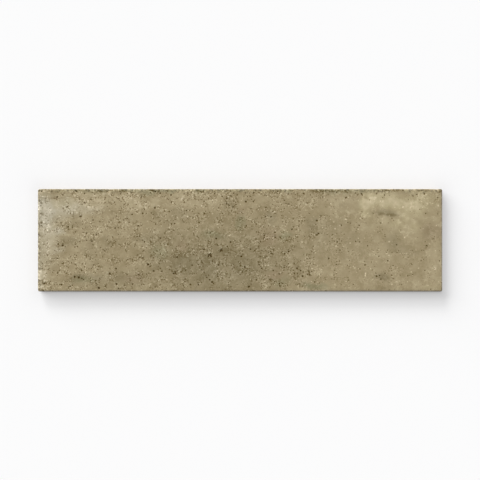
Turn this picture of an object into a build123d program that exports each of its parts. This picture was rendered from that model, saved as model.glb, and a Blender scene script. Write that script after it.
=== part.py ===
from build123d import *
import os

# A pressed porcelain wall tile for a brick-bond wall: one fired piece that lies on its back.
# The face looks up (+Z), the long side runs along X and the short side along Y. The origin is the
# centre of the back, in the plane that meets the wall. Sizes are in millimetres.

# Overall size, measured over the widest part of the section.
tile_length = 300.0
tile_width = 76.0
tile_thickness = 9.0

# Edges: the rounded arris round the face, the upright corners, and the bevel that frees the back
# from the press.
arris_radius = 1.0
corner_radius = 1.2
back_bevel_inset = 1.0
back_bevel_height = 1.5

# Keying on the back: square pockets between ribs, which the bedding adhesive grips. The pockets have
# cut corners and sloping walls, so that they leave the punch.
pocket_side = 9.0
pocket_corner_cut = 1.5
pocket_depth = 0.8
pocket_wall_slope = 30.0
rib_width = 2.0
least_back_border = 4.0


def pressed_blank():
    """The tile as a plain slab with its rounded face arris and bevelled back edge."""
    with BuildPart() as blank:
        with BuildSketch():
            RectangleRounded(tile_length, tile_width, corner_radius)
        extrude(amount=tile_thickness)
        face_outline = blank.faces().sort_by(Axis.Z)[-1].edges()
        fillet(face_outline, radius=arris_radius)
        back_face = blank.faces().sort_by(Axis.Z)[0]
        chamfer(
            back_face.edges(),
            length=back_bevel_inset,
            length2=back_bevel_height,
            reference=back_face,
        )
    return blank.part


def keying_pocket():
    """The material that one pocket takes out: widest at the back, with its corners cut."""
    with BuildPart() as pocket:
        with BuildSketch() as mouth:
            Rectangle(pocket_side, pocket_side)
            chamfer(mouth.vertices(), length=pocket_corner_cut)
        extrude(amount=pocket_depth, taper=pocket_wall_slope)
    return pocket.part


def pockets_along(side):
    """How many pockets fit between the plain borders of one side of the back."""
    clear_length = side - 2 * (back_bevel_inset + least_back_border)
    return int((clear_length + rib_width) // (pocket_side + rib_width))


def keyed_tile():
    """The blank with its grid of pockets, centred on the back."""
    pocket_pitch = pocket_side + rib_width
    pocket = keying_pocket()
    grid = GridLocations(
        pocket_pitch, pocket_pitch, pockets_along(tile_length), pockets_along(tile_width)
    )
    pockets = [pocket.moved(place) for place in grid]
    return pressed_blank() - pockets


wall_tile = keyed_tile()
print("pockets", pockets_along(tile_length), "by", pockets_along(tile_width))
print("volume", round(wall_tile.volume), "mm3")

os.makedirs("parts", exist_ok=True)
export_step(wall_tile, "parts/wall_tile.step")
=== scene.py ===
# %% [markdown]
# A matt porcelain wall tile, long and narrow, with a weathered stone look: a khaki glaze with an ash
# coloured wash at one end, a cream cloud at the other, a mossy shade low in the middle and small dark
# pits all over. One pressed and fired piece, lying on its back.
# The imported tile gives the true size. Its face is flat, so here it is only the gauge: a new piece with
# the real relief of the glaze is modelled inside its box and stands in for it.

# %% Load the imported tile
import math

import bmesh
import bpy
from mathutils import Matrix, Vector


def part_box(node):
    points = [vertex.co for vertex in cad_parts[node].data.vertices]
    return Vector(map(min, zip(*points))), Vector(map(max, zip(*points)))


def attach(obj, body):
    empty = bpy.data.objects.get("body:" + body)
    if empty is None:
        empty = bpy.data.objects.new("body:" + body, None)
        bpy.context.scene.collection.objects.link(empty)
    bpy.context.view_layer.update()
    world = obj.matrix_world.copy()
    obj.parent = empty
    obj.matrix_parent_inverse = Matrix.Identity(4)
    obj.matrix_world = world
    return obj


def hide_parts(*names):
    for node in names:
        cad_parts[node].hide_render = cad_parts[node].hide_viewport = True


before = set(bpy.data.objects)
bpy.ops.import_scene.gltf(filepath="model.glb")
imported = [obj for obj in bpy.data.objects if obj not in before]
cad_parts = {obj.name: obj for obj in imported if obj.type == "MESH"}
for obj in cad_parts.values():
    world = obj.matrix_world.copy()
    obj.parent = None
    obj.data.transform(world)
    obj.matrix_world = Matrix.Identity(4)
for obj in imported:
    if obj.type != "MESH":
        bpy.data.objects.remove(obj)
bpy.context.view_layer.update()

# %% [markdown]
# Size. The length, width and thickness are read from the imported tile, so the new piece can't drift away
# from it. Blender works in metres and a tile maker in millimetres, so each size is written in
# millimetres times MM. The patterns further on are worked out in plain millimetres, which is why the
# overall size is kept both ways.

# %% Size of the tile
MM = 0.001
face_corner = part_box("wall_tile")[1]
half_length = face_corner.x
half_width = face_corner.y
thickness = face_corner.z
half_length_mm = half_length / MM
half_width_mm = half_width / MM
thickness_mm = thickness / MM
print("tile", round(2 * half_length_mm), "by", round(2 * half_width_mm), "by", round(thickness_mm, 1), "mm")

# %% [markdown]
# Hand tools. Every operator acts on what is selected, so each step first picks its faces or edges.
# These helpers do what a hand does with the mouse: let go of everything, take up one piece, and pick by
# a test on the place. Faces could also be picked by their number, but numbers change with every cut,
# and places don't.

# %% Helpers for modelling by hand
def let_go():
    """Leaves edit mode and deselects every object."""
    if bpy.context.mode != "OBJECT":
        bpy.ops.object.mode_set(mode="OBJECT")
    bpy.ops.object.select_all(action="DESELECT")


def work_on(piece):
    """Makes one object the only selected and active one."""
    let_go()
    piece.select_set(True)
    bpy.context.view_layer.objects.active = piece


def pick(piece, kind, wanted):
    """In edit mode, selects the faces, edges or verts that pass a test. Returns how many."""
    bpy.ops.mesh.select_mode(type=kind.upper())
    bpy.ops.mesh.select_all(action="DESELECT")
    mesh = bmesh.from_edit_mesh(piece.data)
    items = {"face": mesh.faces, "edge": mesh.edges, "vert": mesh.verts}[kind]
    chosen = [item for item in items if wanted(item)]
    for item in chosen:
        item.select_set(True)
    bmesh.update_edit_mesh(piece.data)
    return len(chosen)


def near(value, target):
    """True when two lengths differ by less than a hundredth of a millimetre."""
    return abs(value - target) < 0.01 * MM


def triangles_of(piece):
    """How many triangles the faces of a piece come to."""
    return sum(len(face.vertices) - 2 for face in piece.data.polygons)

# %% [markdown]
# The pressed blank. In the press the powder gets its rounded face edge, the arris, and its upright
# corners from the die, and the bevel of the back edge lets it leave the die. A section could be swept
# round the outline, but the radii meet more cleanly when a cube is bevelled twice. Its bottom face is
# then inset and pushed down in one go, which makes the back bevel. That face comes off, because the back
# is closed later, with its pockets.

# %% The pressed blank
arris_radius = 1.0 * MM
arris_steps = 5
corner_radius = 1.2 * MM
corner_steps = 6
back_bevel_inset = 1.0 * MM
back_bevel_height = 1.5 * MM


def upright(edge):
    """A test for edges: the edge runs straight up."""
    start, end = edge.verts
    return near(start.co.x, end.co.x) and near(start.co.y, end.co.y)


def round_the_face(edge):
    """A test for edges: both ends lie in the plane of the face."""
    return all(near(vert.co.z, thickness) for vert in edge.verts)


let_go()
bpy.ops.mesh.primitive_cube_add(
    size=1,
    location=(0, 0, (thickness + back_bevel_height) / 2),
    scale=(2 * half_length, 2 * half_width, thickness - back_bevel_height),
)
tile = bpy.context.active_object
tile.name = "glazed_tile"
tile.data.name = "glazed_tile"
bpy.ops.object.transform_apply(location=True, rotation=True, scale=True)
bpy.ops.object.mode_set(mode="EDIT")

pick(tile, "edge", upright)
bpy.ops.mesh.bevel(offset=corner_radius, segments=corner_steps, affect="EDGES")
pick(tile, "edge", round_the_face)
bpy.ops.mesh.bevel(offset=arris_radius, segments=arris_steps, affect="EDGES")
pick(tile, "face", lambda face: face.normal.z < -0.9)
bpy.ops.mesh.inset(thickness=back_bevel_inset, depth=back_bevel_height)
bpy.ops.mesh.delete(type="ONLY_FACE")
print("blank", len(bmesh.from_edit_mesh(tile.data).faces), "faces")

# %% [markdown]
# Slices. The relief of the glaze needs points that can move. A Subdivision Surface or a Remesh modifier
# would soften the true edges, so the blank is cut with the bisect tool instead, like clay with a wire,
# every two millimetres along and across and four times round the sides. That keeps the rounded edges as
# they are. The back bevel is hidden first, so that it stays plain.

# %% Slice the blank
slice_width = 2.0 * MM
edge_strip = 0.4 * MM
side_rows = [7.6 * MM, 7.1 * MM, 6.4 * MM, 5.4 * MM]


def slice_at(place, direction):
    """One cut through all that shows."""
    bpy.ops.mesh.select_all(action="SELECT")
    bpy.ops.mesh.bisect(plane_co=place, plane_no=direction)


def slice_along(direction, half_side):
    """Even cuts from one end strip to the other."""
    first = half_side - arris_radius - edge_strip
    count = round(2 * first / slice_width)
    for number in range(count + 1):
        place = -first + 2 * first * number / count
        slice_at([place * part for part in direction], direction)


pick(tile, "face", lambda face: face.calc_center_median().z < back_bevel_height - 0.1 * MM)
bpy.ops.mesh.hide(unselected=False)
for height in side_rows:
    slice_at((0, 0, height), (0, 0, 1))
slice_along((1, 0, 0), half_length)
slice_along((0, 1, 0), half_width)
print("sliced into", len(bmesh.from_edit_mesh(tile.data).faces), "faces")

# %% [markdown]
# The close net. The squares of the face and of the upper sides are divided to a third of a millimetre,
# which is fine enough for a pit of one millimetre. More slices would do the same, but one subdivide is
# much faster. The short edges round the arris are left alone, since they are fine enough already.

# %% Subdivide the squares
net_cuts = 5
lowest_row = side_rows[-1] - 0.01 * MM
longest_short_edge = 0.6 * slice_width


def worth_dividing(edge):
    """A test for edges: above the lowest cut of the sides, in sight, and long."""
    high = all(vert.co.z > lowest_row for vert in edge.verts)
    return high and not edge.hide and edge.calc_length() > longest_short_edge


divided = pick(tile, "edge", worth_dividing)
bpy.ops.mesh.subdivide(number_cuts=net_cuts)
bpy.ops.mesh.reveal(select=False)
bpy.ops.object.mode_set(mode="OBJECT")
print("edges divided", divided, "points", len(tile.data.vertices))

# %% [markdown]
# Patterns as arithmetic. A pit in the glaze has to be in the shape and in the colour, at one place. So
# the Geometry Nodes tree and the shader tree are both written here, by the same lines. The small class
# below wraps one socket. Plus, minus, times and divide on it add Math nodes, and its add method adds
# any other node. By hand it would be the same nodes, dragged and wired one by one in both editors.

# %% The wire class
class Wire:
    """One socket of a node tree. Arithmetic on it adds Math nodes to that tree."""

    def __init__(self, tree, socket=None):
        self.tree = tree
        self.socket = socket

    def add(self, kind, settings, inputs, output=0):
        """A node of any kind: its settings first, then the values or links of its sockets."""
        node = self.tree.nodes.new(kind)
        for name, value in settings.items():
            setattr(node, name, value)
        for name, value in inputs.items():
            if isinstance(value, Wire):
                self.tree.links.new(value.socket, node.inputs[name])
            else:
                node.inputs[name].default_value = value
        return Wire(self.tree, node.outputs[output] if len(node.outputs) else None)

    def other(self, output):
        """Another output of the same node."""
        return Wire(self.tree, self.socket.node.outputs[output])

    def maths(self, operation, first, second=0.0):
        return self.add("ShaderNodeMath", {"operation": operation}, {0: first, 1: second})

    def __add__(self, value):
        return self.maths("ADD", self, value)

    def __sub__(self, value):
        return self.maths("SUBTRACT", self, value)

    def __rsub__(self, value):
        return self.maths("SUBTRACT", value, self)

    def __mul__(self, value):
        return self.maths("MULTIPLY", self, value)

    def __truediv__(self, value):
        return self.maths("DIVIDE", self, value)

    def __rtruediv__(self, value):
        return self.maths("DIVIDE", value, self)

    __radd__ = __add__
    __rmul__ = __mul__

    def at_most(self, value):
        return self.maths("MINIMUM", self, value)

    def at_least(self, value):
        return self.maths("MAXIMUM", self, value)

    def size(self):
        return self.maths("ABSOLUTE", self)

    def rise(self, start, end, top=1.0):
        """0 up to start and top from end on, with a smooth ramp between. Start may be the larger."""
        return self.add(
            "ShaderNodeMapRange",
            {"interpolation_type": "SMOOTHSTEP"},
            {"Value": self, "From Min": start, "From Max": end, "To Min": 0.0, "To Max": top},
        )

    def vector(self, operation, *values, output=0):
        """Vector Math on this vector and the values, which are vectors, or a number for SCALE."""
        inputs = {0: self}
        for number, value in enumerate(values):
            inputs["Scale" if operation == "SCALE" else number + 1] = value
        return self.add("ShaderNodeVectorMath", {"operation": operation}, inputs, output)

    def part(self, axis):
        """One part of a vector: 0 is x, 1 is y and 2 is z."""
        return self.add("ShaderNodeSeparateXYZ", {}, {0: self}, axis)

    def mix(self, first, second):
        """The first colour where this number is 0 and the second where it is 1."""
        return self.add("ShaderNodeMix", {"data_type": "RGBA"}, {0: self, 6: first, 7: second}, 2)

# %% [markdown]
# Clouds. Four marks make up the whole face, and the first is the cloud: soft noise, for glaze that
# pooled or drifted. Noise also tears outlines. When the place itself is shifted a little by noise
# before a shape is drawn there, the edge of that shape comes out ragged, as the edge of a glaze does.

# %% Clouds and torn places
def cloud(place, across, seed, detail=2.0, harshness=0.5):
    """Soft noise from 0 to 1, with lumps about that many millimetres across."""
    moved = place.vector("ADD", (31.7 * seed, -17.3 * seed, 11.9 * seed))
    inputs = {"Vector": moved, "Scale": 1.0 / across, "Detail": detail, "Roughness": harshness}
    return moved.add("ShaderNodeTexNoise", {"noise_dimensions": "3D"}, inputs)


def torn(place, across, reach, seed):
    """The same place, shifted a little by noise, so that outlines come out ragged."""
    shift = cloud(place, across, seed).other("Color").vector("SUBTRACT", (0.5, 0.5, 0.5))
    return place.vector("ADD", shift.vector("MULTIPLY", (reach, reach, 0.0)))


def flat(place):
    """The place on the face, with its height left out."""
    return place.vector("MULTIPLY", (1.0, 1.0, 0.0))

# %% [markdown]
# Washes. The second mark is a soft oval, where the glaze was sprayed thick or thin, and a very thin
# oval makes a stroke. It could be painted on an image, but an oval that is written in numbers is as
# sharp as the noise that tears it, at any size, and can feed the shape as well as the colour.

# %% Washes
def oval(place, x, y, half_long, half_short, turn=0.0):
    """How far out a place lies in an oval: 0 in the middle, 1 on its outline."""
    if turn:
        inputs = {"Vector": place, "Center": (x, y, 0.0), "Angle": math.radians(-turn)}
        place = place.add("ShaderNodeVectorRotate", {"rotation_type": "Z_AXIS"}, inputs)
    scale = (1.0 / half_long, 1.0 / half_short, 0.0)
    middle = (-x / half_long, -y / half_short, 0.0)
    return place.vector("MULTIPLY_ADD", scale, middle).vector("LENGTH", output=1)


def washes(place, marks):
    """The sum of soft ovals. Each mark is x, y, half length, half width, turn and strength.

    Turned marks come last, so that the renderer has fewer values to keep at one time.
    """
    total = None
    for x, y, half_long, half_short, turn, strength in sorted(marks, key=lambda mark: mark[4] != 0.0):
        mark = oval(place, x, y, half_long, half_short, turn).rise(1.3, 0.2, strength)
        total = mark if total is None else total + mark
    return total

# %% [markdown]
# Pores and pits. The third and fourth marks are holes, which gas left as it broke through the melting
# glaze. Pores are small, and a Voronoi pattern scatters them, at most one to a cell, with a radius drawn
# by lot. Pits are the larger single holes. The eye knows them one by one, so each is listed where it
# lies.

# %% Pores and pits
def pores(place, spacing, smallest, largest, share, seed):
    """Round holes, at most one to a cell: 1 in the middle of a hole and 0 outside."""
    moved = place.vector("ADD", (13.1 * seed, 7.7 * seed, 0.0))
    inputs = {"Vector": moved, "Scale": 1.0 / spacing, "Randomness": 1.0}
    nearest = moved.add("ShaderNodeTexVoronoi", {"voronoi_dimensions": "2D"}, inputs)
    lot = nearest.other("Color").part(0)
    distance = nearest * spacing
    radius = lot * lot * (largest - smallest) + smallest
    there = (share - lot.other("Y")).rise(0.0, 0.02)
    return (distance / radius).rise(1.15, 0.45) * there


def pits(place, radius, marks):
    """Single round pits of one radius: 1 in the middle and 0 outside. Each mark is x and y."""
    nearest = None
    for x, y in marks:
        away = place.vector("DISTANCE", (x, y, 0.0), output=1)
        nearest = away if nearest is None else nearest.at_most(away)
    return nearest.rise(1.2 * radius, 0.4 * radius)

# %% [markdown]
# The single pits. Places are in millimetres from the middle of the face, x to the right and y up, as a
# decorator would measure them with a rule. The pits are grouped by radius, so that one group needs only
# one soft edge. On the real face they follow the upper long side and gather in small clusters.

# %% Single pits, listed one by one
pits_by_radius = {
    0.55: [
        (-147.3, 36.2), (-139.5, 36.5), (-121.3, 36.5), (-115.3, 34.5), (-107.9, 34.1),
        (-98.7, 36.2), (-95.3, 33.7), (-89.3, 36.5), (-88.6, 34.5), (-80.1, 35.2), (-72.7, 32.1),
        (-65.3, 36.8), (-62.6, 36.2), (-59.2, 34.8), (-53.8, 36.5), (-51.1, 33.5), (-41.4, 34.3),
        (-38.7, 34.7), (-28.9, 36.0), (-18.8, 34.7), (-13.3, 32.6), (-7.2, 32.8), (-4.9, 34.7),
        (-2.2, 33.7), (3.9, 35.0), (10.2, 35.2), (19.4, 32.8), (28.2, 36.1), (35.6, 34.3),
        (32.9, 29.6), (71.8, 35.6), (77.9, 36.9), (90.7, 33.5), (101.2, 34.6), (107.3, 33.4),
        (120.8, 37.0), (128.2, 32.9), (146.5, 31.5), (-23.4, -11.9), (-21.6, -12.1), (-22.0, -10.1),
        (-13.5, -6.8), (-14.6, -8.4), (-48.2, -23.3), (-109, 15), (-106.5, 4), (-122.5, -5),
        (-39.5, 22), (-16, 24), (60, 18), (72, -1), (75, 11), (94.5, -4), (-117.4, -28.4),
        (-116, -29.3), (-124.3, -33.4), (-113.8, -0.2), (-109.7, -0.6), (-94.5, 2.2), (-70.8, -1.3),
        (-76.5, -0.5), (-9.8, 27.2), (-7.9, 25.8), (9.8, 28.7), (36.4, 26.6), (23.1, 17.3),
        (-24.6, 5.3), (-22, 5.3), (-24.6, -27.8), (40.3, -17.1), (24.6, -22.6), (88.4, 10.9),
        (103.6, -26.1), (104.4, -28.9), (55.3, -31), (116.1, -3.3), (-68.6, -18.2),
    ],
    0.68: [
        (-22.9, -10.9), (-21.7, -11.2), (-14.3, -7.3), (-13.3, -7.9), (-49.3, -24.7),
        (-47.8, -24.4), (-135.5, 32), (-115, 27.5), (-80, 19), (-127.5, 10), (-92.5, 9),
        (-113.5, 5), (-100, -8), (-108.5, -18.5), (-92, -21), (-132.5, -33), (-91.5, -32.5),
        (-79.5, -32.5), (-64, -23), (-58, -23), (-59, 1.5), (-48.5, 12.5), (-46.5, -12.5),
        (-35.5, -18.5), (-7, -1.5), (16, -21), (-31, -33), (18, 3.5), (26, 6), (38.5, 8), (23, -10),
        (45, -22.5), (51, -23), (66, -13.5), (90, 34.5), (103, -12), (-66.8, -19.4), (-126, -34.3),
        (-5.3, 24.6), (-17.6, 1.3), (7.5, -6.7), (-22.4, -29.2), (42.2, -20.7), (58.1, 4.8),
        (101.2, -26.6), (51.7, -25.7), (136.6, 34.3),
    ],
    0.85: [
        (-63, 24), (-118, 17.5), (-131.5, -4), (-96.5, -24.5), (-122.5, -27), (-119.5, -27.5),
        (-145, -32), (4.5, 28.5), (1, -12), (3.5, -20), (-20.5, -31), (6.7, -34.4), (36, -8.5),
        (57, 14.5), (46.5, -26.5), (78.5, 31.5), (-104.6, -35.6),
    ],
}
print("pits", sum(len(places) for places in pits_by_radius.values()))

# %% [markdown]
# Where the pores crowd. On the real face pores come in patches and chains. There are more of them along
# the upper side and low in the middle, and few to the right and in the pale washes. The crowd is one
# number, the share of the cells that hold a pore. Each mark of the list is x, y, half length, half
# width, turn in degrees and strength, and a strength below zero calms the face there.

# %% The crowd of the pores
busy_washes = [
    (-15.0, -9.0, 32.0, 14.0, 0.0, 0.22), (-130.0, -27.0, 32.0, 12.0, 0.0, 0.18),
    (-30.0, 33.0, 135.0, 8.0, 0.0, 0.30), (-147.0, 0.0, 8.0, 40.0, 0.0, 0.15),
    (-88.0, 9.0, 20.0, 11.0, 0.0, -0.12), (134.0, 8.0, 26.0, 12.0, 0.0, -0.16),
    (-118.0, 24.0, 13.0, 5.0, 0.0, -0.26), (-138.5, 22.0, 10.0, 9.5, 0.0, -0.34),
    (-38.0, -26.0, 16.0, 8.0, 0.0, -0.10), (108.0, 28.0, 20.0, 9.0, 0.0, -0.20),
]
usual_crowd = 0.42
crowd_swing = 0.5
calm_of_right_end = 0.5


def pore_crowd(face, loose):
    """The share of the cells that hold a pore, never quite none."""
    wide = cloud(face, across=26.0, seed=7) * crowd_swing + washes(face, busy_washes) + usual_crowd
    wide = wide - face.part(0).rise(20.0, 90.0) * calm_of_right_end
    patches = cloud(loose, across=6.0, seed=8, detail=3.0, harshness=0.6).rise(0.45, 0.60)
    chains = (cloud(face, across=7.0, seed=9) - 0.5).size().rise(0.05, 0.0)
    return (wide * (patches * 2.0 + chains * 0.35 + 0.02)).at_least(0.01)


print("busy and calm places", len(busy_washes))

# %% [markdown]
# The edges. A glaze draws back from an arris as it melts, and an arris is what gets knocked, so the tile
# is worn there: fully along the upper long side and the left end, and a fifth as much along the others.

# %% How worn the edges are
worn_reach = 5.0
worn_strip = 1.5
worn_elsewhere = 0.2


def edge_distance(place):
    """Millimetres in from the outline of the tile, seen from above."""
    from_end = half_length_mm - place.part(0).size()
    from_side = half_width_mm - place.part(1).size()
    return from_end.at_most(from_side)


def worn_edge(face):
    """1 on the most worn arrises, a fifth on the others, and 0 inside."""
    inset = edge_distance(face)
    upper_side = face.part(1).rise(half_width_mm - worn_reach, half_width_mm - worn_strip)
    left_end = face.part(0).rise(worn_reach - half_length_mm, worn_strip - half_length_mm)
    return inset.rise(4.5, 0.5) * (upper_side.at_least(left_end) * (1 - worn_elsewhere) + worn_elsewhere)

# %% [markdown]
# The map of the face. One function works out, for a place in millimetres, the masks that the shape and
# the colour share, so that a pit is dark just where it is deep. Ragged is the place for small marks,
# whose outlines are torn by a fraction of a millimetre. Loose is the place for washes, which are torn by
# some millimetres.

# %% The masks that shape and colour share
def face_map(place):
    """The masks of the face, from a place in millimetres."""
    face = flat(place)
    ragged = torn(torn(face, across=2.2, reach=1.1, seed=3), across=0.8, reach=0.5, seed=4)
    loose = torn(torn(face, across=22.0, reach=14.0, seed=5), across=6.0, reach=5.0, seed=6)
    crowd = pore_crowd(face, loose)
    upper = place.part(2).rise(thickness_mm - 1.1, thickness_mm - 0.6)
    tiny = pores(ragged, spacing=1.7, smallest=0.24, largest=0.56, share=crowd, seed=1)
    small = pores(ragged, spacing=3.5, smallest=0.36, largest=0.78, share=crowd * 0.65, seed=2)
    single = None
    for radius, places in pits_by_radius.items():
        group = pits(ragged, radius, places)
        single = group if single is None else single.at_least(group)
    worn = worn_edge(face)
    return {
        "face": face,
        "ragged": ragged,
        "loose": loose,
        "crowd": crowd,
        "upper": upper,
        "tiny": tiny * upper,
        "small": small * upper,
        "single": single * upper,
        "worn": worn,
    }

# %% [markdown]
# The relief. On the real tile the glaze follows a slightly uneven press face, sinks where pores burst
# in the kiln, and is chipped and thin along the arris. It could be left to a bump in the material, but
# then the outline and the printed shape would stay flat. So Geometry Nodes push each point inwards along
# its normal by the depth that the map gives. The depths are in millimetres, and since the push is never
# outwards, nothing leaves the true box of the tile.

# %% How deep the relief is
swell_depth = 0.10
lump_depth = 0.06
grain_depth = 0.05
tiny_depth = 0.10
small_depth = 0.18
single_depth = 0.30
chip_depth = 0.45
side_depth = 0.05
least_depth = 0.05
clearance = 0.01


def relief_depth(place):
    """How far a point of the blank is pushed in, in millimetres."""
    marks = face_map(place)
    face = marks["face"]
    swell = cloud(face, across=45.0, seed=11, detail=1.0) * swell_depth
    lumps = cloud(face, across=7.0, seed=12) * lump_depth
    grain = cloud(place, across=1.3, seed=13, detail=1.0) * grain_depth
    holes = (marks["tiny"] * tiny_depth).at_least(marks["small"] * small_depth)
    holes = holes.at_least(marks["single"] * single_depth)
    on_edge = marks["worn"].rise(0.2, 0.9) * place.part(2).rise(thickness_mm - 4.5, thickness_mm - 1.5)
    chips = cloud(place, across=2.6, seed=14, detail=3.0, harshness=0.6).rise(0.50, 0.72)
    chips = chips * on_edge * chip_depth
    on_face = swell + lumps + holes
    on_side = cloud(place, across=3.0, seed=15, detail=3.0) * side_depth
    top = place.part(2).rise(thickness_mm - 1.2, thickness_mm - 0.5)
    depth = on_face * top + on_side * (1 - top) + grain + chips
    return (depth - least_depth).at_least(clearance)


print("deepest single pit", single_depth, "mm, deepest chip", chip_depth, "mm")

# %% [markdown]
# The push. The tree reads the place and the normal of each point, and moves the point along that
# normal. The modifier is applied at once, so that the next steps work on the pushed points. The push
# fades out above the bevel, whose edge has to stay where the back meets it.

# %% Push the relief into the face
bevel_top = back_bevel_height / MM


def relief_tree():
    """The Geometry Nodes tree that moves the points."""
    tree = bpy.data.node_groups.new("glaze_relief", "GeometryNodeTree")
    tree.interface.new_socket("Mesh", in_out="INPUT", socket_type="NodeSocketGeometry")
    tree.interface.new_socket("Mesh", in_out="OUTPUT", socket_type="NodeSocketGeometry")
    mesh = Wire(tree).add("NodeGroupInput", {}, {})
    position = mesh.add("GeometryNodeInputPosition", {}, {})
    normal = mesh.add("GeometryNodeInputNormal", {}, {})
    place = position.vector("SCALE", 1.0 / MM)
    above_bevel = place.part(2).rise(bevel_top + 0.01, bevel_top + 0.7)
    depth = relief_depth(place) * above_bevel * -MM
    moved = mesh.add("GeometryNodeSetPosition", {}, {0: mesh, "Offset": normal.vector("SCALE", depth)})
    moved.add("NodeGroupOutput", {}, {0: moved})
    return tree


work_on(tile)
relief = tile.modifiers.new("glaze_relief", "NODES")
relief.node_group = relief_tree()
bpy.ops.object.modifier_apply(modifier=relief.name)
print("relief nodes", len(bpy.data.node_groups["glaze_relief"].nodes))

# %% [markdown]
# Fewer triangles. Most of the fine net lies on nearly flat glaze, where it says nothing. The Decimate
# modifier gives those triangles up first and keeps them at the pits and chips, which a coarser net all
# over wouldn't. A vertex group keeps the bevel ring out of it, because the back is joined to it next.

# %% Thin the net where it is flat
face_triangles = 175000
above_ring = back_bevel_height + 0.2 * MM
before = triangles_of(tile)
pressed = tile.vertex_groups.new(name="pressed")
pressed.add([vert.index for vert in tile.data.vertices if vert.co.z > above_ring], 1.0, "REPLACE")
work_on(tile)
thin = tile.modifiers.new("thin", "DECIMATE")
thin.ratio = face_triangles / before
thin.vertex_group = pressed.name
bpy.ops.object.modifier_apply(modifier=thin.name)
print("triangles before", before, "and after", triangles_of(tile))

# %% [markdown]
# The keying back. The lower punch of the press leaves a waffle of shallow pockets, which the adhesive
# grips. Their corners are cut and their walls slope, so that the tile leaves the punch. One pocket is
# modelled from a plane: its corners bevelled, then inset and pushed in at once. Two arrays repeat it,
# which is quicker than 156 cuts with a boolean, and leaves clean faces.

# %% One keying pocket, and its rows
pocket_side = 9.0 * MM
pocket_corner_cut = 1.5 * MM
pocket_depth = 0.8 * MM
pocket_wall_slope = math.radians(30)
rib_width = 2.0 * MM
pocket_pitch = pocket_side + rib_width
pocket_columns = 26
pocket_rows = 6


def repeat(piece, count, offset):
    """Copies of a piece in a row, each moved by one more offset."""
    work_on(piece)
    row = piece.modifiers.new("repeat", "ARRAY")
    row.count = count
    row.use_relative_offset = False
    row.use_constant_offset = True
    row.constant_offset_displace = offset
    bpy.ops.object.modifier_apply(modifier=row.name)


let_go()
first_x = -(pocket_columns - 1) / 2 * pocket_pitch
first_y = -(pocket_rows - 1) / 2 * pocket_pitch
bpy.ops.mesh.primitive_plane_add(size=pocket_side, location=(first_x, first_y, 0))
pockets = bpy.context.active_object
bpy.ops.object.transform_apply(location=True, rotation=True, scale=True)
bpy.ops.object.mode_set(mode="EDIT")
bpy.ops.mesh.select_all(action="SELECT")
bpy.ops.mesh.flip_normals()
bpy.ops.mesh.bevel(offset=pocket_corner_cut, offset_type="OFFSET", segments=1, affect="VERTICES")
pick(pockets, "face", lambda face: True)
bpy.ops.mesh.inset(thickness=pocket_depth * math.tan(pocket_wall_slope), depth=-pocket_depth)
repeat(pockets, pocket_columns, (pocket_pitch, 0, 0))
repeat(pockets, pocket_rows, (0, pocket_pitch, 0))
print("pocket faces", len(pockets.data.polygons))

# %% [markdown]
# Close the back. The pockets are joined to the tile, and one fill closes the flat ribs between all the
# pocket mouths and the bevel ring, so that the tile is one closed skin, as the real piece is. Faces that
# meet at more than 50 degrees keep a sharp edge, and the others are shaded as one smooth surface. The
# last line counts the edges that don't have two faces. The one that it finds is a stray edge, left by
# the thinning. It carries no face, so it neither shows nor opens the skin.

# %% Join the back and fill the ribs
sharpest_smooth = math.radians(50)
work_on(tile)
pockets.select_set(True)
bpy.ops.object.join()
bpy.ops.object.mode_set(mode="EDIT")
pick(tile, "edge", lambda edge: edge.is_boundary)
bpy.ops.mesh.fill(use_beauty=True)
bpy.ops.mesh.select_all(action="SELECT")
bpy.ops.mesh.normals_make_consistent(inside=False)
odd_edges = pick(tile, "edge", lambda edge: not edge.is_manifold)
bpy.ops.object.mode_set(mode="OBJECT")
bpy.ops.object.shade_smooth_by_angle(angle=sharpest_smooth)
print("edges without two faces", odd_edges, "triangles", triangles_of(tile))

# %% [markdown]
# Where the glaze was sprayed thick, thin or dark. Each wash is x, y, half length, half width, turn in
# degrees and strength. The strength of an ash, warm, cream or shade wash is in steps of the 255 between
# black and white on the screen. Moss and rose change the tint only, and their strength goes from 0 to 1.

# %% Washes, listed one by one
ash_washes = [
    (-151.0, 6.0, 17.0, 40.0, 0.0, 15.0), (-144.5, 21.0, 8.0, 11.0, 0.0, 19.0),
    (-136.0, 25.0, 16.0, 10.0, 0.0, 9.0), (-121.0, 22.5, 21.0, 6.5, 3.0, 12.0),
    (-138.0, 10.0, 11.0, 9.0, 0.0, 6.0), (-134.0, 7.0, 5.0, 4.5, 0.0, 12.0),
    (-135.0, -6.5, 5.0, 3.5, 0.0, 10.0), (-106.5, -28.5, 10.0, 2.6, -22.0, 8.0),
    (-148.0, -27.0, 5.0, 13.0, 0.0, 5.0),
]

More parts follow.
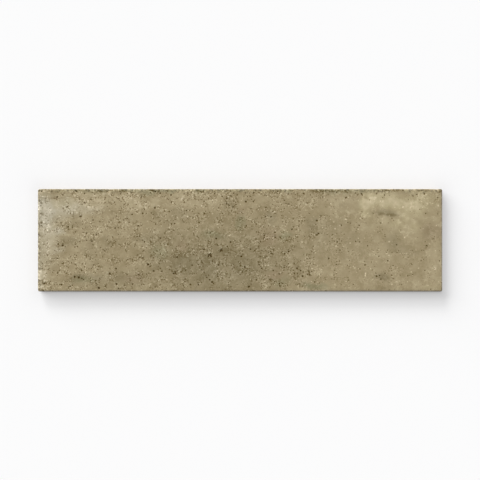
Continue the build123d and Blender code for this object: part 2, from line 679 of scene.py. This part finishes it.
warm_washes = [
    (-114.0, 28.5, 34.0, 9.0, 0.0, 11.0), (-88.0, 28.0, 26.0, 7.0, 3.0, 10.0),
    (-48.0, 29.0, 36.0, 8.0, 0.0, 8.0), (-120.0, 3.0, 22.0, 30.0, 0.0, 4.0),
    (74.0, 30.0, 12.0, 7.0, 0.0, 10.0), (52.0, -14.5, 8.0, 6.0, 0.0, 7.0),
    (60.0, 31.0, 12.0, 6.0, 0.0, 6.0), (145.0, -14.0, 9.0, 9.0, 0.0, 13.0),
    (100.0, 2.0, 50.0, 26.0, 0.0, 3.0), (-106.0, 14.0, 22.0, 8.0, 0.0, 6.0),
    (22.0, 31.0, 9.0, 6.0, 0.0, 5.0), (128.0, -31.0, 11.0, 6.0, 0.0, 7.0),
    (42.0, -14.0, 12.0, 7.0, 0.0, 3.0), (-8.0, 15.0, 8.0, 6.0, 0.0, 3.0),
    (7.0, -1.0, 8.0, 5.0, 0.0, 3.0), (144.0, -24.0, 12.0, 14.0, 0.0, 5.0),
    (-68.0, 30.0, 10.0, 6.0, 0.0, 9.0), (-66.0, 8.0, 12.0, 9.0, 0.0, 4.0),
    (-141.0, -31.0, 9.0, 6.0, 0.0, 5.0), (-143.0, 0.5, 6.0, 16.0, 0.0, 10.0),
    (-147.0, -27.0, 5.0, 13.0, 0.0, 16.0), (44.5, 27.0, 4.5, 4.5, 0.0, 9.0),
    (58.5, -22.0, 6.5, 4.5, -15.0, 13.0),
]

cream_washes = [
    (94.0, 22.5, 6.5, 8.5, 0.0, 14.0), (113.0, 28.5, 14.0, 6.5, 0.0, 23.0),
    (122.5, 19.0, 4.5, 6.0, 0.0, 14.0), (115.5, 12.0, 6.0, 4.0, 0.0, 11.0),
    (130.0, 11.5, 4.0, 5.0, 0.0, 12.0), (133.0, 28.0, 14.0, 8.0, 0.0, 21.0),
    (141.0, -34.5, 8.0, 3.0, 0.0, 7.0), (116.0, 20.0, 34.0, 20.0, 0.0, 7.0),
    (97.0, 30.5, 8.0, 7.0, 0.0, 28.0),
]

shade_washes = [
    (-12.0, -19.0, 68.0, 25.0, 0.0, 17.0), (0.0, 10.0, 72.0, 18.0, 0.0, 5.5),
    (-82.0, 15.0, 7.0, 6.0, 0.0, 4.0), (-98.0, -2.0, 16.0, 6.0, 0.0, 3.0),
    (52.0, -31.0, 9.0, 5.0, 0.0, 7.0), (104.0, -33.0, 14.0, 4.0, 0.0, 4.0),
    (-59.0, 1.0, 18.0, 12.0, 0.0, 5.0), (-100.0, -31.0, 42.0, 9.0, 0.0, 9.0),
    (-112.0, -8.0, 12.0, 12.0, 0.0, 5.0), (86.0, -9.0, 14.0, 13.0, 0.0, 4.0),
    (-123.0, 13.0, 10.0, 3.5, 4.0, 7.0), (-128.0, -1.0, 8.0, 5.0, 0.0, 12.0),
    (-97.0, -1.0, 4.5, 5.5, 0.0, 6.0), (-75.0, 0.0, 7.0, 4.0, 0.0, 6.0),
    (-61.0, -13.0, 8.5, 10.0, 0.0, 4.0), (-42.0, -16.0, 11.0, 11.0, 0.0, 6.0),
    (-24.0, -20.0, 8.0, 13.0, 0.0, 8.0), (-13.0, -7.0, 4.5, 4.0, 0.0, 9.0),
    (2.0, -18.5, 12.0, 7.5, 0.0, 4.0), (-15.0, 3.5, 10.0, 4.0, 0.0, 5.0),
    (-121.0, -27.5, 6.5, 5.0, 0.0, 14.0), (-85.5, -25.5, 14.0, 7.0, 0.0, 5.0),
    (-62.0, 20.0, 5.5, 6.0, 0.0, 7.0), (-44.0, 19.0, 9.0, 7.0, 0.0, 6.0),
    (-7.5, 27.5, 8.0, 6.0, 0.0, 9.0), (22.0, 17.5, 4.5, 5.0, 0.0, 9.0),
    (-67.0, 1.0, 9.0, 7.0, 0.0, 5.5), (-52.0, 14.0, 7.0, 5.0, 0.0, 4.0),
    (83.0, 1.0, 8.0, 6.0, 0.0, 4.0), (53.5, 13.5, 6.5, 5.5, 0.0, 9.0),
    (56.0, -6.0, 26.0, 10.0, 0.0, 5.0), (66.0, 8.0, 17.0, 12.0, 0.0, 6.0),
    (109.5, 19.2, 11.5, 3.2, -3.0, 15.0), (127.0, -9.5, 6.0, 3.5, 0.0, 5.0),
    (115.0, -1.0, 12.0, 8.0, -40.0, 12.0), (142.5, 7.0, 9.0, 9.5, 0.0, 8.5),
    (58.0, -33.0, 12.0, 4.0, 0.0, 9.0), (103.0, -25.5, 7.0, 4.5, 0.0, 15.0),
    (78.0, 25.5, 9.0, 6.0, 0.0, 4.0),
]

moss_washes = [
    (2.0, 14.0, 5.0, 8.0, 0.0, 0.8), (-20.0, 3.0, 9.0, 3.5, 0.0, 0.8),
    (32.0, 4.0, 6.0, 4.0, 0.0, 0.8), (-60.0, -8.0, 9.0, 7.0, 0.0, 0.7),
    (58.0, -33.0, 12.0, 3.5, 0.0, 0.9), (-116.0, -31.0, 9.0, 4.0, 0.0, 0.7),
    (30.0, -31.0, 7.0, 4.0, 0.0, 0.5), (-130.0, 28.0, 8.0, 5.0, 0.0, 0.3),
    (0.0, 38.5, 175.0, 3.0, 0.0, 0.7),
]

rose_washes = [
    (-41.0, -4.0, 6.0, 4.0, 0.0, 0.7), (21.0, 3.0, 8.0, 9.0, 0.0, 0.7),
    (26.0, -26.0, 7.0, 4.0, 0.0, 0.8), (2.0, 23.0, 5.0, 4.0, 0.0, 0.6),
    (-79.0, -28.0, 9.0, 5.0, 0.0, 0.6), (144.0, 8.0, 9.0, 9.0, 0.0, 0.6),
]
print("washes", len(ash_washes + warm_washes + cream_washes + shade_washes), "of tone",
      len(moss_washes + rose_washes), "of tint")

# %% [markdown]
# Small marks. A kiln shelf, a brush or a finger leaves thin strokes in the raw glaze, pale where it lies
# thicker and dark where it is scraped. Two long pale strokes along the right arris are painted light,
# which lifts the shade where that arris turns from the lamps. Dark blots sit on the arris where the glaze
# was knocked off. Pale flecks are grains that stuck to it. Strokes and blots are written like the washes,
# and a fleck is x and y.

# %% Strokes, blots and flecks, listed one by one
pale_strokes_and_arris_light = [
    (-117.0, 34.0, 18.0, 0.8, 1.0, 12.0), (-104.0, 33.5, 6.0, 0.7, -4.0, 12.0),
    (-53.5, -15.0, 2.5, 0.6, -25.0, 24.0), (36.0, 4.5, 11.0, 0.7, -45.0, 9.0),
    (47.0, 28.5, 5.0, 1.2, -50.0, 9.0), (-128.0, 4.0, 7.0, 0.7, 5.0, 10.0),
    (-149.0, 25.5, 1.2, 2.6, 0.0, 22.0), (-148.5, -24.0, 1.6, 5.5, 0.0, 24.0),
    (-147.5, -34.5, 2.6, 1.6, 0.0, 24.0), (-108.0, 33.0, 4.0, 0.7, 0.0, 16.0),
    # The two strokes at x 149.7 are painted light on the right arris, which lifts its shade.
    (-100.0, 34.5, 3.0, 0.8, 0.0, 18.0), (149.7, 6.0, 1.1, 30.0, 0.0, 20.0),
    (149.7, -28.0, 1.1, 9.0, 0.0, 22.0), (93.0, -25.2, 0.7, 1.9, 0.0, 24.0),
]

dark_strokes = [
    (-140.5, 31.2, 9.5, 0.9, 0.0, 22.0), (-126.0, 32.0, 8.0, 0.8, 0.0, 10.0),
    (0.3, -4.4, 3.0, 2.2, 0.0, 15.0), (11.1, -1.2, 3.2, 2.0, 0.0, 13.0),
    (-105.0, 27.5, 12.0, 0.9, 0.0, 10.0), (-108.0, 21.0, 4.0, 0.6, 0.0, 8.0),
    (-134.0, -3.0, 7.0, 1.0, 12.0, 14.0), (-96.0, -1.0, 5.0, 0.6, 48.0, 22.0),
    (94.0, 31.0, 5.0, 0.8, -25.0, 12.0), (105.0, 19.5, 3.4, 1.4, -4.0, 26.0),
    (113.2, 18.6, 5.0, 1.3, -4.0, 22.0), (109.4, 19.0, 2.6, 1.2, 0.0, 16.0),
    (-26.7, -22.6, 0.7, 2.6, 0.0, 14.0),
]

edge_blots = [
    (-101.5, 37.0, 6.0, 1.6, 0.0, 30.0), (-88.0, 36.8, 5.0, 2.0, 0.0, 30.0),
    (-63.5, 36.8, 5.5, 1.8, 0.0, 36.0), (-29.0, 36.6, 5.5, 1.6, 0.0, 32.0),
    (26.5, 37.0, 6.0, 1.4, 0.0, 30.0), (57.0, 36.8, 7.0, 2.0, 0.0, 44.0),
    (68.0, 36.8, 4.5, 1.8, 0.0, 34.0), (77.5, 36.2, 6.0, 1.4, -8.0, 34.0),
    (107.0, 37.2, 3.5, 1.4, 0.0, 34.0), (114.5, 37.2, 6.0, 1.5, 0.0, 36.0),
    (148.3, 36.8, 1.8, 1.6, 0.0, 44.0), (-147.5, 19.5, 2.6, 2.2, 0.0, 34.0),
    (-147.5, 12.6, 2.4, 2.0, 0.0, 34.0), (-147.5, -21.3, 2.4, 1.8, 0.0, 34.0),
    (-146.0, -31.0, 4.0, 2.4, 0.0, 44.0), (-147.0, -37.2, 3.5, 1.2, 0.0, 40.0),
]

fleck_radius = 0.7
pale_flecks = [
    (-121, 20.5), (-54.5, -16), (69.5, 13.5), (81.5, -2), (93, -24.5), (93, -26), (85, -20.5),
    (96.5, -21), (110.5, -1), (122, 2), (127, -23.5), (144.5, -21.5), (147, 25.5), (110.5, 18.5),
    (70.5, 8.5), (46, -1.5), (49, -1), (45, 31), (120.7, 24.5), (132.3, -20.7), (89.1, 16.1),
    (-145.7, 13.5), (-141.5, 10), (-54, -20), (-111.5, -27.9), (-114.1, -35.2), (71.3, -4.4),
]
print("strokes", len(pale_strokes_and_arris_light + dark_strokes), "blots", len(edge_blots), "flecks", len(pale_flecks))

# %% [markdown]
# The tone. How light the glaze is goes into one number, in steps of the 255 of the screen. It starts at
# khaki, and every cloud, wash, pore and stroke adds its share. A painted image would turn soft close
# by, and this number stays sharp at any distance. The grain is stronger where pores crowd, since both
# come from thin glaze. The washes are broken up by a cloud of their own, as sprayed glaze is.

# %% How light or dark the glaze is
usual_sink = 1.0
wide_tone = 24.0
middle_tone = 40.0
fine_tone = 96.0
glint_tone = 42.0
spark_tone = 38.0
wisp_tone = 16.0
worn_tone = 170.0
blot_gain = 1.5
fleck_tone = 36.0
single_tone = 82.0
small_tone = 68.0
tiny_tone = 54.0


def glaze_grain(marks):
    """The clouding and the grain of the glaze, in steps lighter or darker."""
    ragged = marks["ragged"]
    wide = (cloud(marks["loose"], across=18.0, seed=21) - 0.5) * wide_tone - usual_sink
    middle = cloud(ragged, across=6.0, seed=22, detail=3.0) - 0.5
    middle = middle * (middle_tone - marks["ash"] * 0.7)
    grained = (marks["crowd"] * 1.6 + 0.14).at_most(1.9)
    fine = cloud(ragged, across=1.3, seed=23, detail=3.0, harshness=0.75) - 0.5
    fine = fine * fine_tone * grained
    glints = cloud(ragged, across=1.2, seed=25).rise(0.60, 0.74) * glint_tone * grained.at_most(1.1)
    share = marks["crowd"] * 0.5 + 0.04
    sparks = pores(ragged, spacing=2.3, smallest=0.22, largest=0.55, share=share, seed=4) * spark_tone
    wisps = (cloud(ragged, across=5.0, seed=28, detail=3.0, harshness=0.6) - 0.5).size().rise(0.04, 0.0)
    wisps = wisps * cloud(marks["face"], across=12.0, seed=29).rise(0.42, 0.60) * wisp_tone
    worn = cloud(ragged, across=1.8, seed=26, detail=3.0, harshness=0.7) - 0.5
    worn = worn * marks["worn"] * worn_tone
    return wide + middle + fine + worn + glints + sparks + wisps


def glaze_tone(marks):
    """How much lighter or darker than khaki the glaze is, in steps of 255."""
    ragged = marks["ragged"]
    grain = glaze_grain(marks)
    broken = cloud(ragged, across=5.0, seed=24, detail=4.0, harshness=0.65) * 2.4 - 0.2
    thick = marks["ash"] * (broken * 0.2 + 0.8) + marks["cream"] * (broken * 0.75 + 0.25)
    thin = (washes(marks["loose"], warm_washes) - marks["shade"]) * broken
    strokes = washes(ragged, pale_strokes_and_arris_light) - washes(ragged, dark_strokes)
    blots = washes(ragged, edge_blots)
    blots = blots * cloud(ragged, across=1.5, seed=27, harshness=0.6).rise(0.40, 0.60) * blot_gain
    flecks = pits(ragged, fleck_radius, pale_flecks) * marks["upper"] * fleck_tone
    holes = (marks["single"] * single_tone).at_least(marks["small"] * small_tone)
    holes = holes.at_least(marks["tiny"] * tiny_tone)
    return grain + thick + thin + strokes - blots + flecks - holes


print("a single pit is up to", single_tone, "steps darker than the glaze around it")

# %% [markdown]
# The colour of the glaze. All tints have the same green, because the tone sets how light a place is and
# the tint only which way it leans: to grey in the ash, to yellow in the cream, to red in the pits. Both
# are set as they look on the screen, where equal steps look equal, and a Gamma node then turns that look
# into the light that a shader works in. At the lower and the right arris, which turn from the lamps, a
# painted shade tint makes the colour lean to grey.

# %% The tints of the glaze
def look(red, green, blue):
    """A colour by its screen values, each from 0 to 255."""
    return (red / 255, green / 255, blue / 255, 1.0)


khaki = look(154.6, 141.0, 110.6)
ash_tint = look(149.8, 141.0, 118.6)
cream_tint = look(153.8, 141.0, 108.2)
dusk_tint = look(152.0, 141.0, 113.5)
moss_tint = look(148.3, 141.0, 111.3)
rose_tint = look(156.3, 141.0, 113.8)
pit_tint = look(156.8, 141.0, 107.8)
shaded_arris_tint = look(151.3, 141.0, 122.8)
full_ash = 26
full_cream = 18
full_shade = 20
full_pit = 80
shaded_arris_start = 0.9
shaded_arris_full = 0.5


def shaded_arris(face):
    """Where the painted shade tint goes: 1 on the lower and the right arris, and 0 from a millimetre in."""
    lower = face.part(1).rise(shaded_arris_start - half_width_mm, shaded_arris_full - half_width_mm)
    return lower.at_least(face.part(0).rise(half_length_mm - shaded_arris_start, half_length_mm - shaded_arris_full))


def glaze_colour(marks):
    """The colour of the glaze on the face."""
    tint = (marks["ash"] * (1 / full_ash)).mix(khaki, ash_tint)
    tint = (marks["cream"] * (1 / full_cream)).mix(tint, cream_tint)
    tint = (marks["shade"] * (1 / full_shade) - 0.08).mix(tint, dusk_tint)
    tint = washes(marks["loose"], moss_washes).mix(tint, moss_tint)
    tint = washes(marks["loose"], rose_washes).mix(tint, rose_tint)
    # Painted shade: the arrises that turn from the lamps lean to grey.
    tint = shaded_arris(marks["face"]).mix(tint, shaded_arris_tint)
    tone = glaze_tone(marks)
    tint = (tone * (-1 / full_pit) - 0.25).mix(tint, pit_tint)
    shown = tint.vector("ADD", (tone * (1 / 255)).at_least(-0.38))
    return shown.add("ShaderNodeGamma", {}, {"Color": shown, "Gamma": 2.2})


print("khaki as light", [round(part ** 2.2, 3) for part in khaki[:3]])

# %% [markdown]
# The whole skin. One firing makes one skin, so one material does all: matt glaze on the face and the
# arris, running a little way down the sides, and bare fired clay below it and on the back, with pale
# kiln dust at the foot. Two materials would need a seam between faces, and here a ragged line decides,
# at the height where the glaze ran out. The finest grit is a bump, since it is too small for the net.

# %% The material of the tile
soot_colour = (0.068, 0.056, 0.030, 1.0)
fired_clay = (0.380, 0.315, 0.230, 1.0)
kiln_dust = (0.500, 0.450, 0.375, 1.0)
lowest_glaze = 5.9
glaze_line_swing = 2.4
matt_roughness = 0.62
roughness_swing = 0.16
grit_height = 0.03
glaze_sheen = 0.13


def clay_colour(place, height):
    """Bare clay, a little sooty, with kiln dust at the foot."""
    clay = (cloud(place, across=5.0, seed=32, detail=3.0) * 0.35).mix(fired_clay, soot_colour)
    dusty = height.rise(0.5, 0.02) * cloud(place, across=9.0, seed=33, detail=3.0).rise(0.35, 0.65)
    return (dusty * 0.7).mix(clay, kiln_dust)


def tile_material():
    """The whole skin of the tile."""
    material = bpy.data.materials.new("weathered_khaki_glaze")
    material.use_nodes = True
    tree = material.node_tree
    tree.nodes.clear()
    place = Wire(tree).add("ShaderNodeTexCoord", {}, {}, "Object").vector("SCALE", 1.0 / MM)
    marks = face_map(place)
    for name, wash in (("ash", ash_washes), ("cream", cream_washes), ("shade", shade_washes)):
        marks[name] = washes(marks["loose"], wash)
    height = place.part(2)

    soot = cloud(place, across=2.2, seed=31, detail=3.0, harshness=0.65).rise(0.50, 0.60) * marks["worn"]
    glaze = (soot * 0.6).mix(glaze_colour(marks), soot_colour)
    clay = clay_colour(place, height)
    glaze_line = cloud(place, across=4.0, seed=34) * glaze_line_swing + lowest_glaze
    colour = (height - glaze_line).rise(-0.15, 0.15).mix(clay, glaze)

    unevenness = (cloud(place, across=2.0, seed=35) - 0.5) * roughness_swing
    rough = matt_roughness + unevenness - marks["ash"] * 0.002
    grit = cloud(place, across=0.5, seed=36) * grit_height + cloud(place, across=1.6, seed=37) * grit_height
    bump = grit.add("ShaderNodeBump", {}, {"Strength": 1.0, "Distance": MM, "Height": grit})
    skin = {"Base Color": colour, "Roughness": rough, "Normal": bump, "Specular IOR Level": glaze_sheen}
    shader = colour.add("ShaderNodeBsdfPrincipled", {}, skin)
    shader.add("ShaderNodeOutputMaterial", {}, {"Surface": shader})
    print("material nodes", len(tree.nodes))
    return material


tile.data.materials.clear()
tile.data.materials.append(tile_material())
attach(tile, "root")
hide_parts("wall_tile")

# %% [markdown]
# The stage: a plain pale floor at the level of the back. In the photograph the shadow is thin, as on a
# table lit from below. So what the camera sees of the floor is partly the lit floor and partly its plain
# colour, by the Light Path node, while the light that the floor throws back on the tile stays as it is.
# Close to the tile the floor carries painted shade: its colour is a touch darker there, and its own light
# fades in the narrow strip beside it, which deepens the shadow.
# Seen from below the floor is clear, and so is the part right under the tile, so that the back can be
# looked at. The reaches and widths below are in plain millimetres.

# %% The floor
floor_size = 6.0
floor_level = -0.1 * MM
floor_tone = (0.972, 0.972, 0.975, 1.0)
# Painted shade beside the tile: the contact tone and reach darken the floor colour near it, and the rim
# values fade its plain light in a narrow strip.
painted_contact_shade_tone = (0.892, 0.890, 0.896, 1.0)
painted_contact_shade_reach = 7.5
own_light = 0.53
painted_rim_shadow = 0.34
painted_rim_shadow_width = 0.9
painted_rim_shadow_end_scale = 4.0
window_border = 1.6
let_go()
bpy.ops.mesh.primitive_plane_add(size=floor_size, location=(0, 0, floor_level))
floor = bpy.context.active_object
floor.name = "floor"
bpy.ops.object.transform_apply(location=True, rotation=True, scale=True)


def seen_plainly(start):
    """1 for what the camera sees, by itself, in a gloss or through glass, and 0 for other light."""
    by_camera = start.add("ShaderNodeLightPath", {}, {}, "Is Camera Ray")
    or_in_gloss = by_camera.at_least(by_camera.other("Is Glossy Ray"))
    return or_in_gloss.at_least(by_camera.other("Is Transmission Ray"))


def floor_material():
    """Matt and pale, partly plain colour for the camera, with painted shade near the tile, and clear from
    below and under the tile.
    """
    material = bpy.data.materials.new("pale_floor")
    material.use_nodes = True
    tree = material.node_tree
    tree.nodes.clear()
    start = Wire(tree)
    place = start.add("ShaderNodeTexCoord", {}, {}, "Object").vector("SCALE", 1.0 / MM)
    past_end = (place.part(0).size() - half_length_mm).at_least(0.0)
    past_side = (place.part(1).size() - half_width_mm).at_least(0.0)
    end_squared = past_end * past_end
    side_squared = past_side * past_side
    # Painted contact shade: the floor colour darkens towards the tile.
    painted_contact_shade = painted_contact_shade_reach ** 2 / (end_squared + side_squared + painted_contact_shade_reach ** 2)
    tone = painted_contact_shade.mix(floor_tone, painted_contact_shade_tone)
    lit = start.add("ShaderNodeBsdfDiffuse", {}, {"Color": tone})
    plain = start.add("ShaderNodeEmission", {}, {"Color": tone, "Strength": 1.0})
    # Painted shadow: the plain share fades in a narrow strip beside the tile, narrower at the ends.
    share = own_light - painted_rim_shadow / (end_squared * painted_rim_shadow_end_scale + side_squared + painted_rim_shadow_width ** 2)
    plainly = seen_plainly(start) * share
    above = start.add("ShaderNodeMixShader", {}, {0: plainly, 1: lit, 2: plain})
    clear = start.add("ShaderNodeBsdfTransparent", {}, {})
    from_below = start.add("ShaderNodeNewGeometry", {}, {}, "Backfacing")
    under_tile = edge_distance(place).rise(window_border, window_border + 0.1)
    open_part = from_below.at_least(under_tile)
    shader = start.add("ShaderNodeMixShader", {}, {0: open_part, 1: above, 2: clear})
    start.add("ShaderNodeOutputMaterial", {}, {"Surface": shader})
    return material


floor.data.materials.append(floor_material())
print("floor", round(floor_size), "m square at", round(floor_level / MM, 1), "mm")

# %% [markdown]
# Light. The shadow falls to the lower right, so the lamps stand at the upper left: a wide soft one and a
# narrower one nearer to the top. A sun lamp with a wide angle lights the whole floor alike, which a
# near area lamp wouldn't. The room fills the rest. The shares add up to one, the light on a level floor
# at which a colour renders as it is written.

# %% Lamps and room
room_share = 0.34


def sun_lamp(name, share, elevation, azimuth, spread):
    """A soft sun that gives a level floor its share of the light. Angles are in degrees."""
    elevation = math.radians(elevation)
    azimuth = math.radians(azimuth)
    lamp = bpy.data.lights.new(name, "SUN")
    lamp.angle = math.radians(spread)
    lamp.energy = share * math.pi / math.sin(elevation)
    sun = bpy.data.objects.new(name, lamp)
    bpy.context.scene.collection.objects.link(sun)
    sun.location = (
        math.cos(elevation) * math.cos(azimuth),
        math.cos(elevation) * math.sin(azimuth),
        math.sin(elevation),
    )
    sun.rotation_euler = (-sun.location).to_track_quat("-Z", "Y").to_euler()
    print(name, "strength", round(lamp.energy, 2))


sun_lamp("key", 0.45, elevation=28, azimuth=137, spread=48)
sun_lamp("rim", 0.21, elevation=28, azimuth=110, spread=20)

world = bpy.data.worlds.new("room")
world.use_nodes = True
bpy.context.scene.world = world
world.node_tree.nodes.clear()
room = Wire(world.node_tree)
fill = room.add("ShaderNodeBackground", {}, {"Color": (1.0, 1.0, 1.0, 1.0), "Strength": room_share})
paper = room.add("ShaderNodeBackground", {}, {"Color": floor_tone, "Strength": 1.0})
seen = seen_plainly(room)
around = room.add("ShaderNodeMixShader", {}, {0: seen, 1: fill, 2: paper})
room.add("ShaderNodeOutputWorld", {}, {"Surface": around})
bpy.context.scene.view_settings.view_transform = "Standard"

# %% [markdown]
# The camera looks straight down, as in the photograph, through a long lens. It stands so high that the
# photograph's width, measured at the face of the tile, fills the frame.

# %% The camera
photo_frame_width = 355.8 * MM
lens = 100.0
sensor = 36.0
aim_x = -0.06 * MM
aim_y = 0.19 * MM
camera_data = bpy.data.cameras.new("camera")
camera_data.lens = lens
camera_data.sensor_width = sensor
camera = bpy.data.objects.new("camera", camera_data)
bpy.context.scene.collection.objects.link(camera)
camera.location = (aim_x, aim_y, thickness + photo_frame_width * lens / sensor)
bpy.context.scene.camera = camera
print("camera height", round(camera.location.z, 3), "m")
